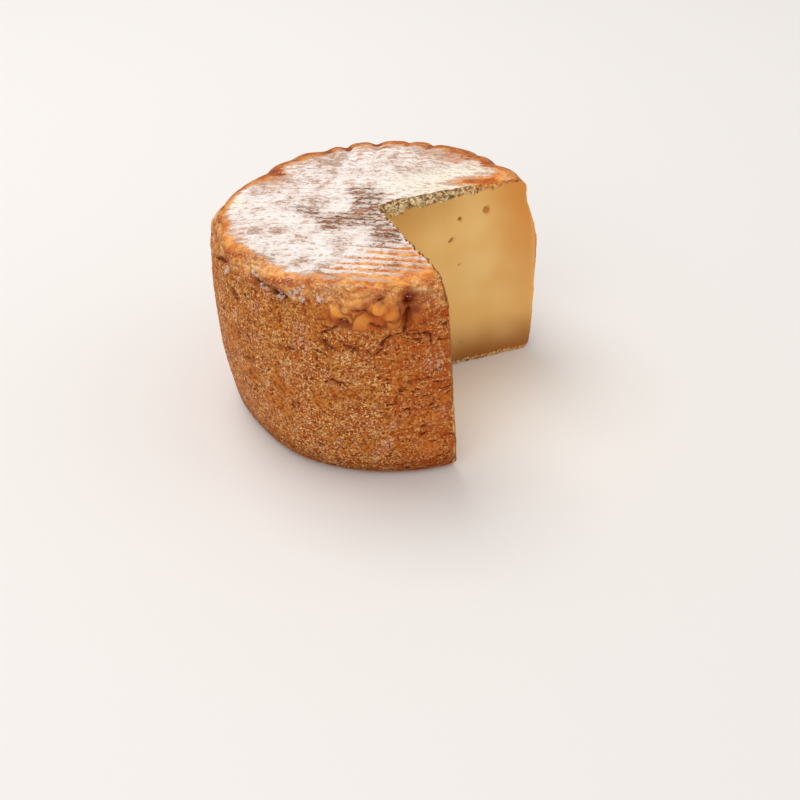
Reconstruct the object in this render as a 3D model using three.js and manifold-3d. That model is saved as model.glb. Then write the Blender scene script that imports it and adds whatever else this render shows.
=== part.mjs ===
// A small wheel of smoked cow cheese with a quarter cut out of it.
// Millimetres, +Z up, standing on its flat base with the origin at the middle of the base.
// The missing quarter opens between the +X and the -Y direction.

import * as THREE from 'three';
import { mergeVertices } from 'three/addons/utils/BufferGeometryUtils.js';
import Module from 'manifold-3d';

const wasm = await Module();
wasm.setup();

// Driving dimensions in millimetres
const HEIGHT = 77.5;
const BASE_RADIUS = 61.7;
const BELLY_RADIUS = 64.1;
const TOP_RADIUS = 63;
const BASE_ROUND = 3.8;
const SHOULDER_ROUND = 9.4;

// How finely the round faces are stepped
const STEPS_ROUND = 144;
const STEPS_SIDE = 11;
const STEPS_RIM = 9;
const STEPS_SHOULDER = 5;
const STEPS_BASE_EDGE = 2;

// The wheel swells towards the back, more at the rim, which is scalloped from the top down to RIM_DEPTH
const RIM_DEPTH = 28;
const RIM_FULL_DEPTH = 9;
const SWELL_AZIMUTH = 64.5;
const SWELL_HALF_WIDTH = 45;
const BACK_SWELL = 2;
const RIM_SWELL = 2.2;
const RIM_INSET = 1.2;

// Scallops of the rim: azimuth and half width in degrees, depth in millimetres, negative where it bulges
const RIM_DENTS = [
  [-1.5, 7.5, 3.3],
  [15.5, 5, 2.4],
  [26.5, 2.2, 1.5],
  [46.8, 2, 2.4],
  [56.8, 1.8, 1.9],
  [70, 2.6, 3.9],
  [82.8, 2.3, 3.9],
  [92, 4, 2.6],
  [100, 4, -0.6],
  [107, 3.5, 1],
  [121, 5, 2.6],
  [128, 4, 1.2],
  [134.5, 4, 0.6],
  [148, 3.5, 0.7],
  [157, 8, -1.5],
  [-166, 3, 1],
  [-134, 3, 0.8],
  [-92, 14, -1.1],
];

// The base draws in at one place and flares at the near cut, fading out at BASE_RISE, in the same three values
const BASE_RISE = 36;
const BASE_DENTS = [
  [-170, 22, 3],
  [-87, 28, -2.4],
];

// The shoulder is fuller at the far cut and rounder at the near one, in the same three values
const SHOULDER_DENTS = [
  [-1.5, 9, -3],
  [-90, 14, 1.2],
];

// The relief of the side fades out over this band inside the outline
const SIDE_BAND = [SHOULDER_ROUND, 2];

// Marks on the side: azimuth in degrees, height, half width, half height and depth, negative for a lump
const SIDE_MARKS = [
  [-101.3, 71.5, 3.4, 4.2, 2],
  [-102.5, 64.5, 2.2, 4.5, 1.2],
  [-107, 59.3, 4.5, 2, 1],
  [-98, 59.3, 4, 2, 0.9],
  [-121.5, 65.3, 2.8, 2.2, 1.2],
  [-127.6, 56.4, 3, 2.4, 1],
  [-119, 55.3, 3, 2, 0.8],
  [-154, 72.5, 3, 3, 1.6],
  [-146.5, 71.4, 6.5, 2.2, 1.4],
  [-176, 71, 6, 2.2, 1],
  [-122.8, 70.3, 4.6, 4, -1.2],
  [-117.2, 72.2, 3.4, 3, -0.9],
  [-116.8, 65.7, 4, 3.4, -0.8],
  [-105.5, 65.1, 3.4, 4, -0.9],
  [-99.6, 63.6, 3, 3.6, -0.8],
  [-148, 75.2, 8, 2.4, -0.7],
];

// Slow waves of the side: height, how many go round the wheel, twist per millimetre of height, phase
const HAND_WAVES = [
  [0.35, 3, 0.06, 0],
  [0.25, 7, -0.11, 1.3],
  [0.2, 13, 0.19, 0.4],
];

// Ridges that the draining mat pressed into the top
const RIDGE_AZIMUTH = -36.5;
const RIDGE_SPACING = 4.1;
const RIDGE_SPACING_SPREAD = 0.22;
const RIDGE_HEIGHT = 0.75;
const RIDGE_HEIGHT_SPREAD = [0.7, 1.2];
const RIDGE_SECTION = [[0, 0], [0.22, 0.8], [0.5, 1], [0.78, 0.8]];
const TOP_WAVE_HEIGHT = 0.35;
const TOP_WAVE_LENGTH = 54;
const CROWN = 1.6;

// The cut-out quarter: its tip and the two cut faces
const TIP_X = -0.8;
const TIP_Y = -1.9;
const FAR_CUT_AZIMUTH = -1.75;
const NEAR_CUT_AZIMUTH_TOP = -88.7;
const NEAR_CUT_AZIMUTH_BASE = -87.1;
const CUT_REACH = 110;
const CUT_MARGIN = 8;

// Eyes in the paste of a cut face: distance from the tip, height, half width, half height, tilt in degrees
const FAR_EYES = [
  [43.3, 66.7, 1.5, 1.9, 20],
  [32.4, 65.2, 0.7, 1, 0],
  [28.6, 56.9, 1.3, 0.8, 35],
];
const NEAR_EYES = [
  [20.5, 58, 1.2, 0.8, -25],
  [38.5, 30.5, 1.4, 1.1, 15],
  [29, 44.5, 0.8, 1.1, 10],
  [47, 52, 0.9, 0.7, 0],
];
const EYE_DEPTH = 1.3;
const EYE_SIDES = 9;
const EYE_RINGS = 6;

// The crust breaks into crumbs along the top edge of each cut face
const CRUMBS_PER_CUT = 26;
const CRUMB_RADIUS = [0.75, 1.5];
const CRUMB_DROP = [2, 4];
const CRUMB_START = 4;
const CRUMB_END = 54;
const SEED = 20;

const RIND_COLOUR = 0xb5702f;
const RIND_ROUGHNESS = 0.62;

// Turns seed into an endless row of numbers from 0 to 1
function seededRandom(seed) {
  let state = seed;
  return () => {
    state = (state + 0x6d2b79f5) | 0;
    let mixed = Math.imul(state ^ (state >>> 15), 1 | state);
    mixed = (mixed + Math.imul(mixed ^ (mixed >>> 7), 61 | mixed)) ^ mixed;
    return ((mixed ^ (mixed >>> 14)) >>> 0) / 4294967296;
  };
}

const degrees = THREE.MathUtils.degToRad;

// Smallest difference between two azimuths in degrees
function azimuthGap(a, b) {
  return ((a - b + 540) % 360) - 180;
}

function bell(distance) {
  return Math.exp(-distance * distance);
}

// Radius of the plain wheel at a height, through base, belly and top
function plainRadius(z) {
  const t = z / HEIGHT;
  const base = BASE_RADIUS * (1 - t) * (1 - 2 * t);
  const belly = BELLY_RADIUS * 4 * t * (1 - t);
  return base + belly + TOP_RADIUS * t * (2 * t - 1);
}

// Half section of the plain wheel, from the middle of the base to the middle of the crown
function wheelProfile() {
  const profile = [new THREE.Vector2(0, 0)];
  const baseCentre = BASE_RADIUS - BASE_ROUND;
  for (let i = 0; i <= STEPS_BASE_EDGE; i += 1) {
    const turn = degrees((90 * i) / STEPS_BASE_EDGE);
    const x = baseCentre + BASE_ROUND * Math.sin(turn);
    profile.push(new THREE.Vector2(x, BASE_ROUND * (1 - Math.cos(turn))));
  }
  const rimStart = HEIGHT - RIM_DEPTH;
  for (let i = 1; i <= STEPS_SIDE; i += 1) {
    const z = BASE_ROUND + ((rimStart - BASE_ROUND) * i) / STEPS_SIDE;
    profile.push(new THREE.Vector2(plainRadius(z), z));
  }
  const shoulderStart = HEIGHT - SHOULDER_ROUND;
  for (let i = 1; i <= STEPS_RIM; i += 1) {
    const z = rimStart + ((shoulderStart - rimStart) * i) / STEPS_RIM;
    profile.push(new THREE.Vector2(plainRadius(z), z));
  }
  const shoulderCentre = plainRadius(shoulderStart) - SHOULDER_ROUND;
  for (let i = 1; i <= STEPS_SHOULDER; i += 1) {
    const turn = degrees((90 * i) / STEPS_SHOULDER);
    const x = shoulderCentre + SHOULDER_ROUND * Math.cos(turn);
    profile.push(new THREE.Vector2(x, shoulderStart + SHOULDER_ROUND * Math.sin(turn)));
  }
  profile.push(new THREE.Vector2(shoulderCentre - SHOULDER_ROUND, HEIGHT + CROWN));
  profile.push(new THREE.Vector2(0, HEIGHT + CROWN));
  return profile;
}

// Total depth at an azimuth of dents given by azimuth, half width and depth
function dentDepth(azimuth, dents) {
  const depthOf = ([at, halfWidth, depth]) => depth * bell(azimuthGap(azimuth, at) / halfWidth);
  return dents.map(depthOf).reduce((sum, depth) => sum + depth, 0);
}

// How far the swollen, scalloped outline stands outside the plain wheel
function outlineOffset(azimuth, z) {
  const { smoothstep } = THREE.MathUtils;
  const swell = bell(azimuthGap(azimuth, SWELL_AZIMUTH) / SWELL_HALF_WIDTH);
  const rim = RIM_SWELL * swell - RIM_INSET - dentDepth(azimuth, RIM_DENTS);
  const rimShare = smoothstep(z, HEIGHT - RIM_DEPTH, HEIGHT - RIM_FULL_DEPTH);
  const base = dentDepth(azimuth, BASE_DENTS) * (1 - smoothstep(z, 0, BASE_RISE));
  const shoulder = dentDepth(azimuth, SHOULDER_DENTS) * smoothstep(z, HEIGHT - SHOULDER_ROUND, HEIGHT);
  return BACK_SWELL * swell + rim * rimShare - base - shoulder;
}

// How far the pits, creases and lumps of the side reach in or out
function sideOffset(azimuth, z) {
  let offset = 0;
  for (const [at, height, halfWidth, halfHeight, depth] of SIDE_MARKS) {
    const along = degrees(azimuthGap(azimuth, at)) * TOP_RADIUS;
    offset -= depth * bell(Math.hypot(along / halfWidth, (z - height) / halfHeight));
  }
  return offset;
}

// Slow unevenness of the hand-turned side
function handUnevenness(azimuth, z) {
  const turn = degrees(azimuth);
  const wave = ([height, count, twist, phase]) => height * Math.sin(count * turn + twist * z + phase);
  return HAND_WAVES.map(wave).reduce((sum, height) => sum + height, 0);
}

// The whole round body before the top is pressed and the quarter is cut out
function roundBody() {
  const geometry = new THREE.LatheGeometry(wheelProfile(), STEPS_ROUND);
  geometry.rotateX(Math.PI / 2);
  const position = geometry.attributes.position;
  for (let i = 0; i < position.count; i += 1) {
    const x = position.getX(i);
    const y = position.getY(i);
    const z = position.getZ(i);
    const radius = Math.hypot(x, y);
    if (radius < 1) continue;
    const azimuth = THREE.MathUtils.radToDeg(Math.atan2(y, x));
    const onSide = THREE.MathUtils.smoothstep(radius, TOP_RADIUS - SIDE_BAND[0], TOP_RADIUS - SIDE_BAND[1]);
    const offFloor = THREE.MathUtils.smoothstep(z, 0, BASE_ROUND);
    const relief = (sideOffset(azimuth, z) + handUnevenness(azimuth, z)) * offFloor;
    const outline = outlineOffset(azimuth, z) * (radius / TOP_RADIUS);
    const scale = 1 + (outline + relief * onSide) / radius;
    position.setX(i, x * scale);
    position.setY(i, y * scale);
  }
  return toSolid(geometry);
}

// A block whose upper face carries the parallel ridges of the draining mat
function ridgedBlock(random) {
  const reach = BELLY_RADIUS + 2 * CUT_MARGIN;
  const outline = new THREE.Shape();
  outline.moveTo(-reach, -CUT_MARGIN);
  outline.lineTo(reach, -CUT_MARGIN);
  const crest = [];
  let start = -reach;
  while (start < reach) {
    const width = RIDGE_SPACING * (1 + RIDGE_SPACING_SPREAD * (2 * random() - 1));
    const height = RIDGE_HEIGHT * THREE.MathUtils.lerp(...RIDGE_HEIGHT_SPREAD, random());
    for (const [along, up] of RIDGE_SECTION) {
      const u = start + width * along;
      const wave = TOP_WAVE_HEIGHT * Math.sin((2 * Math.PI * u) / TOP_WAVE_LENGTH);
      crest.push([u, HEIGHT - RIDGE_HEIGHT + wave + height * up]);
    }
    start += width;
  }
  crest.filter(([u]) => u < reach).reverse().forEach(([u, z]) => outline.lineTo(u, z));
  const geometry = new THREE.ExtrudeGeometry(outline, { depth: 2 * reach, bevelEnabled: false });
  geometry.translate(0, 0, -reach);
  geometry.rotateX(Math.PI / 2);
  geometry.rotateZ(degrees(RIDGE_AZIMUTH + 90));
  return toSolid(geometry);
}

// Azimuth of the leaning near cut at a height
function nearCutAzimuth(z) {
  return THREE.MathUtils.lerp(NEAR_CUT_AZIMUTH_BASE, NEAR_CUT_AZIMUTH_TOP, z / HEIGHT);
}

// The wedge of air between the two cut faces
function cutOut() {
  const outline = new THREE.Shape();
  const far = degrees(FAR_CUT_AZIMUTH);
  const near = degrees(NEAR_CUT_AZIMUTH_BASE);
  const nearX = CUT_REACH * Math.cos(near);
  outline.moveTo(0, 0);
  outline.lineTo(nearX, CUT_REACH * Math.sin(near));
  outline.lineTo(CUT_REACH, -CUT_REACH);
  outline.lineTo(CUT_REACH * Math.cos(far), CUT_REACH * Math.sin(far));
  const options = { depth: HEIGHT + 2 * CUT_MARGIN, bevelEnabled: false };
  const geometry = new THREE.ExtrudeGeometry(outline, options);
  geometry.translate(0, 0, -CUT_MARGIN);
  const position = geometry.attributes.position;
  for (let i = 0; i < position.count; i += 1) {
    const onNearEdge = Math.abs(position.getX(i) - nearX) < 1 && position.getY(i) < -CUT_REACH / 2;
    if (!onNearEdge) continue;
    const azimuth = degrees(nearCutAzimuth(position.getZ(i)));
    position.setX(i, CUT_REACH * Math.cos(azimuth));
    position.setY(i, CUT_REACH * Math.sin(azimuth));
  }
  geometry.translate(TIP_X, TIP_Y, 0);
  return toSolid(geometry);
}

// Puts a small shape on a cut face, at a distance from the tip and a height
function placeOnCut(geometry, cutAzimuth, distance, z) {
  const azimuth = degrees(cutAzimuth);
  geometry.rotateZ(azimuth);
  geometry.translate(TIP_X + distance * Math.cos(azimuth), TIP_Y + distance * Math.sin(azimuth), z);
  return toSolid(geometry);
}

function eye(cutAzimuth, [distance, z, halfWidth, halfHeight, tilt]) {
  const geometry = new THREE.SphereGeometry(1, EYE_SIDES, EYE_RINGS);
  geometry.scale(halfWidth, EYE_DEPTH, halfHeight);
  geometry.rotateY(degrees(tilt));
  return placeOnCut(geometry, cutAzimuth, distance, z);
}

function crumb(cutAzimuth, random) {
  const geometry = new THREE.IcosahedronGeometry(1, 0);
  const size = THREE.MathUtils.lerp(...CRUMB_RADIUS, random());
  geometry.scale(size * (1 + random()), size, size);
  geometry.rotateY(degrees(360 * random()));
  const distance = THREE.MathUtils.lerp(CRUMB_START, CRUMB_END, random());
  const drop = THREE.MathUtils.lerp(...CRUMB_DROP, random());
  return placeOnCut(geometry, cutAzimuth, distance, HEIGHT - drop);
}

// A closed mesh as a solid that can be joined and cut
function toSolid(geometry) {
  const bare = geometry.clone();
  bare.deleteAttribute('normal');
  bare.deleteAttribute('uv');
  const merged = mergeVertices(bare);
  const index = merged.index.array;
  const corners = [];
  for (let i = 0; i < index.length; i += 3) {
    const [a, b, c] = index.slice(i, i + 3);
    if (a !== b && b !== c && c !== a) corners.push(a, b, c);
  }
  const vertProperties = merged.attributes.position.array;
  const triVerts = new Uint32Array(corners);
  return new wasm.Manifold(new wasm.Mesh({ numProp: 3, vertProperties, triVerts }));
}

// The largest body of a solid, as a geometry
function toGeometry(solid) {
  const bodies = solid.decompose().sort((a, b) => b.volume() - a.volume());
  const mesh = bodies[0].getMesh();
  const geometry = new THREE.BufferGeometry();
  geometry.setAttribute('position', new THREE.BufferAttribute(mesh.vertProperties, 3));
  geometry.setIndex(new THREE.BufferAttribute(mesh.triVerts, 1));
  return geometry;
}

function cheeseWheel() {
  const random = seededRandom(SEED);
  let body = roundBody().intersect(ridgedBlock(random)).subtract(cutOut());
  const nearCutMiddle = nearCutAzimuth(HEIGHT / 2);
  const cuts = [
    [FAR_CUT_AZIMUTH, FAR_EYES],
    [nearCutMiddle, NEAR_EYES],
  ];
  for (const [azimuth, eyes] of cuts) {
    for (const mark of eyes) body = body.subtract(eye(azimuth, mark));
  }
  for (const azimuth of [FAR_CUT_AZIMUTH, NEAR_CUT_AZIMUTH_TOP]) {
    for (let i = 0; i < CRUMBS_PER_CUT; i += 1) body = body.add(crumb(azimuth, random));
  }
  const geometry = toGeometry(body);
  geometry.computeBoundingBox();
  const middle = geometry.boundingBox.getCenter(new THREE.Vector3());
  geometry.translate(-middle.x, -middle.y, -geometry.boundingBox.min.z);
  geometry.computeVertexNormals();
  const looks = { color: RIND_COLOUR, roughness: RIND_ROUGHNESS, metalness: 0 };
  const mesh = new THREE.Mesh(geometry, new THREE.MeshStandardMaterial(looks));
  mesh.name = 'cheese_wheel';
  return mesh;
}

const group = new THREE.Group();
group.add(cheeseWheel());

export default group;
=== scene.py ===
"""A small wheel of smoked cow cheese with a quarter cut out.

The wheel is modelled whole, given its scalloped rim, mat ridges, cracks and grain, and then cut. Crumbs of
crust and mould are scattered along the cuts and the creases. Patterns are written once, in millimetres from
the wheel's axis, and serve both the relief of the mesh and the colours of its materials.
"""

import functools
import math
import random

import bpy
from bpy.props import FloatProperty, FloatVectorProperty, IntProperty, PointerProperty
from mathutils import Matrix, Vector


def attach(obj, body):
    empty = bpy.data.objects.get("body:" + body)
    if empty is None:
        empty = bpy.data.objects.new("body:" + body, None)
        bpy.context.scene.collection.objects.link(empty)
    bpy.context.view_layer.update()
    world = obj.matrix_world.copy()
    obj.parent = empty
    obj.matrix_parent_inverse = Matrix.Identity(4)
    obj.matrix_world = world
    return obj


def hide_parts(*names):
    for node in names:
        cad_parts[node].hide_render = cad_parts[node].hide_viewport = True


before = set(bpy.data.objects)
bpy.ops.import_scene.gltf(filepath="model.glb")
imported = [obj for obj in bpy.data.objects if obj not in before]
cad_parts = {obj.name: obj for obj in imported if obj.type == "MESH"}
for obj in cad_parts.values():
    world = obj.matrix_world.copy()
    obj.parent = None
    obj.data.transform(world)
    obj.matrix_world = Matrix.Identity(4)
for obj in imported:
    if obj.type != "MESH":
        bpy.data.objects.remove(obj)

bl_info = {
    "name": "Smoked cheese wheel",
    "version": (1, 0, 0),
    "blender": (4, 5, 0),
    "location": "3D View > Sidebar > Cheese",
    "description": "Models a smoked cheese wheel with a quarter cut out",
    "category": "Add Mesh",
}

MM = 0.001

# The wheel stands this much above the floor and below its full height, so that no vertex leaves its box
HAIR = 0.00001

# The solid that every piece stands for, and the piece that is the wheel itself
NODE = "cheese_wheel"
WHEEL = "smoked_cheese"

# The upright axis of the round wheel, in metres; the scallops put it a little off the middle of the box
AXIS = Vector((-0.00039, -0.00045, 0.0))

# The azimuth from the model's front to the photograph's, in degrees
VIEW_TURN = -19.55

# How far along a cut from its tip the crust crumbles, in millimetres
CRUMB_REACH = 54

# Azimuths are counted from the direction opposite the cut-out quarter, so that their jump falls in the cut
BACK_AZIMUTH = 135.0

# Scallops of the rim: azimuth and half width in degrees, depth in millimetres, negative where it bulges
RIM_DENTS = (
    (-1.5, 7.5, 3.3),
    (15.5, 5, 2.4),
    (26.5, 2.2, 1.5),
    (46.8, 2, 2.4),
    (56.8, 1.8, 1.9),
    (70, 2.6, 3.9),
    (82.8, 2.3, 3.9),
    (92, 4, 2.6),
    (100, 4, -0.6),
    (107, 3.5, 1),
    (121, 5, 2.6),
    (128, 4, 1.2),
    (134.5, 4, 0.6),
    (148, 3.5, 0.7),
    (157, 8, -1.5),
    (-166, 3, 1),
    (-134, 3, 0.8),
    (-92, 14, -1.1),
)

# The dents of the back's scallops, whose hollows get painted shade
BACK_DENTS = RIM_DENTS[1:12]

# Where the base draws in or flares, and where the shoulder is fuller or rounder: the same three values
BASE_DENTS = ((-170, 22, 3), (-87, 28, -2.4))
SHOULDER_DENTS = ((-1.5, 9, -3), (-90, 14, 1.2))

# Pits and lumps of the side: azimuth in degrees, height, half width, half height, depth, negative for a lump
SIDE_MARKS = (
    (-101.3, 71.5, 2.6, 4.2, 2.4),
    (-97.0, 72.9, 4.0, 2.0, 0.9),
    (-102.6, 64.5, 1.5, 4.2, 0.9),
    (-107.0, 59.4, 4.0, 1.4, 0.6),
    (-98.0, 59.4, 3.6, 1.3, 0.5),
    (-121.5, 65.3, 2.0, 1.5, 1.3),
    (-127.9, 56.5, 1.8, 1.8, 1.1),
    (-119.0, 55.3, 2.6, 1.3, 0.6),
    (-154.0, 72.5, 2.5, 2.5, 1.8),
    (-146.5, 71.2, 6.5, 1.5, 1.5),
    (-176.0, 71.0, 6.0, 1.4, 0.9),
    (-122.8, 70.3, 3.9, 3.6, -1.9),
    (-117.4, 73.0, 2.4, 2.2, -1.3),
    (-129.5, 71.5, 3.2, 2.6, -1.0),
    (-116.6, 65.7, 3.4, 2.9, -1.4),
    (-110.9, 69.8, 2.6, 2.4, -0.8),
    (-105.9, 65.1, 2.9, 3.6, -1.4),
    (-99.6, 63.8, 2.4, 3.2, -1.2),
    (-106.5, 72.8, 2.8, 2.2, -0.9),
    (-92.5, 73.5, 3.6, 2.8, -0.8),
    (-147.0, 75.2, 8.0, 2.4, -0.7),
)

# Dark red stains of the side: azimuth, height, half width, half height, strength
STAINS = (
    (-101.4, 71, 3.2, 4.6, 1.0),
    (-98.5, 73.2, 4, 2, 0.6),
    (-109.5, 72.6, 3, 1.5, 0.5),
    (-121.5, 64.5, 3, 1.6, 0.5),
    (-163, 71.5, 8, 4, 0.4),
    (-154, 72, 4, 3, 0.6),
)

# Cracks of the rind: width in millimetres, then points of azimuth in degrees and height in millimetres
CRACKS = (
    (1.5, (-101.2, 73.4), (-101.4, 68.2)),
    (0.9, (-101.6, 68.2), (-103.2, 61.0)),
    (0.7, (-103.2, 60.6), (-106.3, 60.0), (-108.6, 58.7), (-110.7, 56.9)),
    (0.5, (-103.2, 60.6), (-100.6, 59.5), (-96.2, 59.5), (-95.1, 58.7), (-95.4, 55.9)),
    (0.55, (-113.4, 64.6), (-110.1, 63.3)),
    (1.1, (-122.6, 65.6), (-120.2, 64.8)),
    (0.45, (-123.6, 63.2), (-128.9, 60.1)),
    (0.5, (-118.8, 69.3), (-115.4, 69.5), (-113.8, 68.6)),
    (0.9, (-110.8, 72.3), (-108.1, 73.6)),
    (0.9, (-128.6, 57.3), (-127.3, 55.6), (-125.4, 54.6)),
    (0.6, (-121.0, 56.5), (-118.8, 54.7), (-117.1, 54.6)),
    (0.4, (-114.8, 54.8), (-113.4, 53.2), (-111.7, 53.5), (-110.5, 55.2)),
    (0.4, (-93.3, 56.3), (-88.7, 55.7)),
    (0.5, (-103.3, 41.0), (-100.6, 41.7), (-95.5, 41.8)),
    (0.45, (-128.1, 41.5), (-126.5, 42.4), (-124.1, 41.1), (-119.6, 41.8)),
    (0.6, (-144.0, 51.7), (-138.2, 52.3)),
    (0.5, (-157.0, 56.6), (-153.0, 57.2)),
    (0.7, (-169.5, 64.1), (-163.2, 62.6)),
    (0.8, (-161.9, 38.8), (-157.0, 40.1)),
    (0.6, (-141.8, 27.2), (-140.7, 25.4)),
    (0.5, (-103.8, 29.9), (-100.7, 29.7)),
    (1.5, (-154.2, 73.0), (-150.7, 72.6), (-147.7, 71.8), (-143.1, 71.0), (-141.5, 70.4)),
    (1.0, (-171.9, 72.0), (-176.0, 71.0), (-181.1, 69.0)),
    (0.5, (-167.7, 63.0), (-163.3, 61.2)),
)

# Dark mould on the top: place to the right and away as photographed, half length, half width, strength
DARK_PATCHES = (
    (-12, -12, 14, 8, 1.0),
    (-6, 12, 8, 9, 0.85),
    (-27, 0, 8, 6, 0.6),
    (3, -25, 7, 10, 0.9),
    (-4, -33, 10, 3, 0.45),
    (-2, 0, 7, 8, 0.8),
    (-47, 9, 9, 6, 0.35),
    (-30, 38, 10, 5, 0.45),
    (-38, -14, 6, 5, 0.3),
    (-32, -22, 7, 3, 0.3),
)

# Bare rind showing through the bloom of the top: the same five values
BARE_PATCHES = (
    (16, -57, 10, 6, 1.3),
    (38, 15, 9, 3.8, 1.9),
    (50, 22, 8, 12, 1.1),
    (12, -42, 14, 11, 0.50),
    (-14, -52, 20, 6, 0.30),
    (32, 40, 18, 9, 0.85),
    (4, 52, 26, 5, 0.55),
    (-44, 30, 10, 10, 1.1),
    (-28, 45, 12, 6, 0.9),
    (-52, -22, 5, 14, 0.35),
    (-22, 20, 12, 8, 0.12),
)

# Eyes in a cut face: distance from the tip, height, half width, half height, tilt in degrees, in millimetres
FAR_EYES = (
    (43.3, 66.7, 1.5, 1.9, 20),
    (32.4, 65.2, 0.8, 1.0, 0),
    (28.6, 56.9, 1.5, 0.8, 35),
    (31.5, 45.7, 0.5, 0.4, 0),
    (31.5, 9.8, 0.5, 0.4, 0),
)
NEAR_EYES = (
    (20.5, 58, 1.2, 0.8, -25),
    (38.5, 30.5, 1.4, 1.1, 15),
    (29, 44.5, 0.8, 1.1, 10),
    (47, 52, 0.9, 0.7, 0),
)

# Crumbs of mould on the side: azimuth in degrees, height and size in millimetres
MOULD_SPOTS = (
    (-170.1, 70.3, 1.5),
    (-170.6, 68.8, 1.2),
    (-154.8, 74.2, 1.3),
    (-152.0, 71.0, 0.9),
    (-149.1, 70.6, 1.1),
    (-144.3, 71.1, 0.9),
    (-142.8, 69.8, 1.1),
    (-139.9, 72.4, 1.2),
    (-138.2, 71.2, 0.8),
    (-137.1, 73.4, 1.0),
    (-135.7, 71.4, 1.1),
    (-134.9, 70.0, 0.9),
    (-129.5, 72.8, 1.0),
    (-128.0, 72.4, 0.7),
    (-101.0, 71.9, 0.5),
    (-121.5, 65.3, 0.5),
)


def tone(red, green, blue):
    """A colour as it looks on screen, from 0 to 255, as the linear values that Blender mixes."""

    def linear(value):
        share = value / 255
        return share / 12.92 if share <= 0.04045 else ((share + 0.055) / 1.055) ** 2.4

    return (linear(red), linear(green), linear(blue))


def wrapped(azimuth):
    """Degrees from the direction opposite the cut, between -180 and 180."""
    return (azimuth - BACK_AZIMUTH + 180) % 360 - 180


class Socket:
    """A number from a node. Arithmetic on it adds Math nodes to its pattern."""

    def __init__(self, pattern, end):
        self.pattern = pattern
        self.end = end

    def __add__(self, other):
        return self.pattern.maths("ADD", self, other)

    __radd__ = __add__

    def __mul__(self, other):
        return self.pattern.maths("MULTIPLY", self, other)

    __rmul__ = __mul__

    def __sub__(self, other):
        return self.pattern.maths("SUBTRACT", self, other)

    def __rsub__(self, other):
        return self.pattern.maths("SUBTRACT", other, self)

    def __truediv__(self, other):
        return self.pattern.maths("DIVIDE", self, other)

    def __rtruediv__(self, other):
        return self.pattern.maths("DIVIDE", other, self)

    def __pow__(self, other):
        return self.pattern.maths("POWER", self, other)

    def __neg__(self):
        return self.pattern.maths("MULTIPLY", self, -1)

    def __abs__(self):
        return self.pattern.maths("ABSOLUTE", self)


class Pattern:
    """Nodes being added to one tree, a material's or a geometry group's."""

    def __init__(self, tree):
        self.tree = tree

    def node(self, kind, settings=None, inputs=None, output=0):
        """Adds a node, applies its settings, fills its sockets and gives the chosen output."""
        node = self.tree.nodes.new(kind)
        for name, value in (settings or {}).items():
            setattr(node, name, value)
        for key, value in (inputs or {}).items():
            if isinstance(value, Socket):
                self.tree.links.new(value.end, node.inputs[key])
            else:
                node.inputs[key].default_value = value
        return Socket(self, node.outputs[output])

    def maths(self, operation, *values):
        """A number from numbers."""
        return self.node("ShaderNodeMath", {"operation": operation}, dict(enumerate(values)))

    def vector(self, operation, *values, scale=None):
        """A vector, or for dot products and lengths a number, from vectors."""
        inputs = dict(enumerate(values))
        if scale is not None:
            inputs["Scale"] = scale
        gives_number = operation in ("DOT_PRODUCT", "DISTANCE", "LENGTH")
        return self.node("ShaderNodeVectorMath", {"operation": operation}, inputs, int(gives_number))

    def combine(self, x, y, z):
        """A vector from three numbers."""
        return self.node("ShaderNodeCombineXYZ", None, {0: x, 1: y, 2: z})

    def step(self, value, start, end):
        """Rises smoothly from 0 to 1 as the value goes from start to end; start may be the larger."""
        if start > end:
            return 1 - self.step(value, end, start)
        settings = {"interpolation_type": "SMOOTHSTEP"}
        return self.node("ShaderNodeMapRange", settings, {0: value, 1: start, 2: end, 3: 0.0, 4: 1.0})

    def combined(self, operation, values):
        """Joins several numbers, one after the other, by one operation."""
        return functools.reduce(lambda first, second: self.maths(operation, first, second), values)

    def bell(self, distance):
        """1 where the distance is 0, falling softly to 0 past 1 on both sides."""
        return self.maths("EXPONENT", -(distance * distance))

    def noise(self, place, size, detail=2.0, roughness=0.5, distortion=0.0):
        """Soft noise from 0 to 1 with lumps of about the size given, in the units of place."""
        inputs = {"Vector": place, "Scale": 1 / size, "Detail": detail}
        inputs.update({"Roughness": roughness, "Distortion": distortion})
        return self.node("ShaderNodeTexNoise", {"noise_dimensions": "3D"}, inputs)

    def noise_vector(self, place, size, strength):
        """A vector that wanders by about the strength given."""
        inputs = {"Vector": place, "Scale": 1 / size, "Detail": 1.0}
        colour = self.node("ShaderNodeTexNoise", {"noise_dimensions": "3D"}, inputs, 1)
        around_zero = self.vector("SUBTRACT", colour, (0.5, 0.5, 0.5))
        return self.vector("SCALE", around_zero, scale=2 * strength)

    def cells(self, place, size, feature="F1"):
        """Distance from the middle of the nearest cell, or from its edge, in shares of the size."""
        inputs = {"Vector": place, "Scale": 1 / size, "Randomness": 1.0}
        return self.node("ShaderNodeTexVoronoi", {"feature": feature}, inputs)

    def mix(self, share, first, second):
        """A colour between two colours."""
        settings = {"data_type": "RGBA", "clamp_factor": True}
        inputs = {0: share, 6: opaque(first), 7: opaque(second)}
        return self.node("ShaderNodeMix", settings, inputs, 2)

    def clamp(self, value):
        """The value, kept between 0 and 1."""
        return self.node("ShaderNodeClamp", None, {0: value, 1: 0.0, 2: 1.0})


def opaque(colour):
    """A colour with its fourth value, for a socket."""
    return colour if isinstance(colour, Socket) else (*colour, 1.0)


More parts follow.
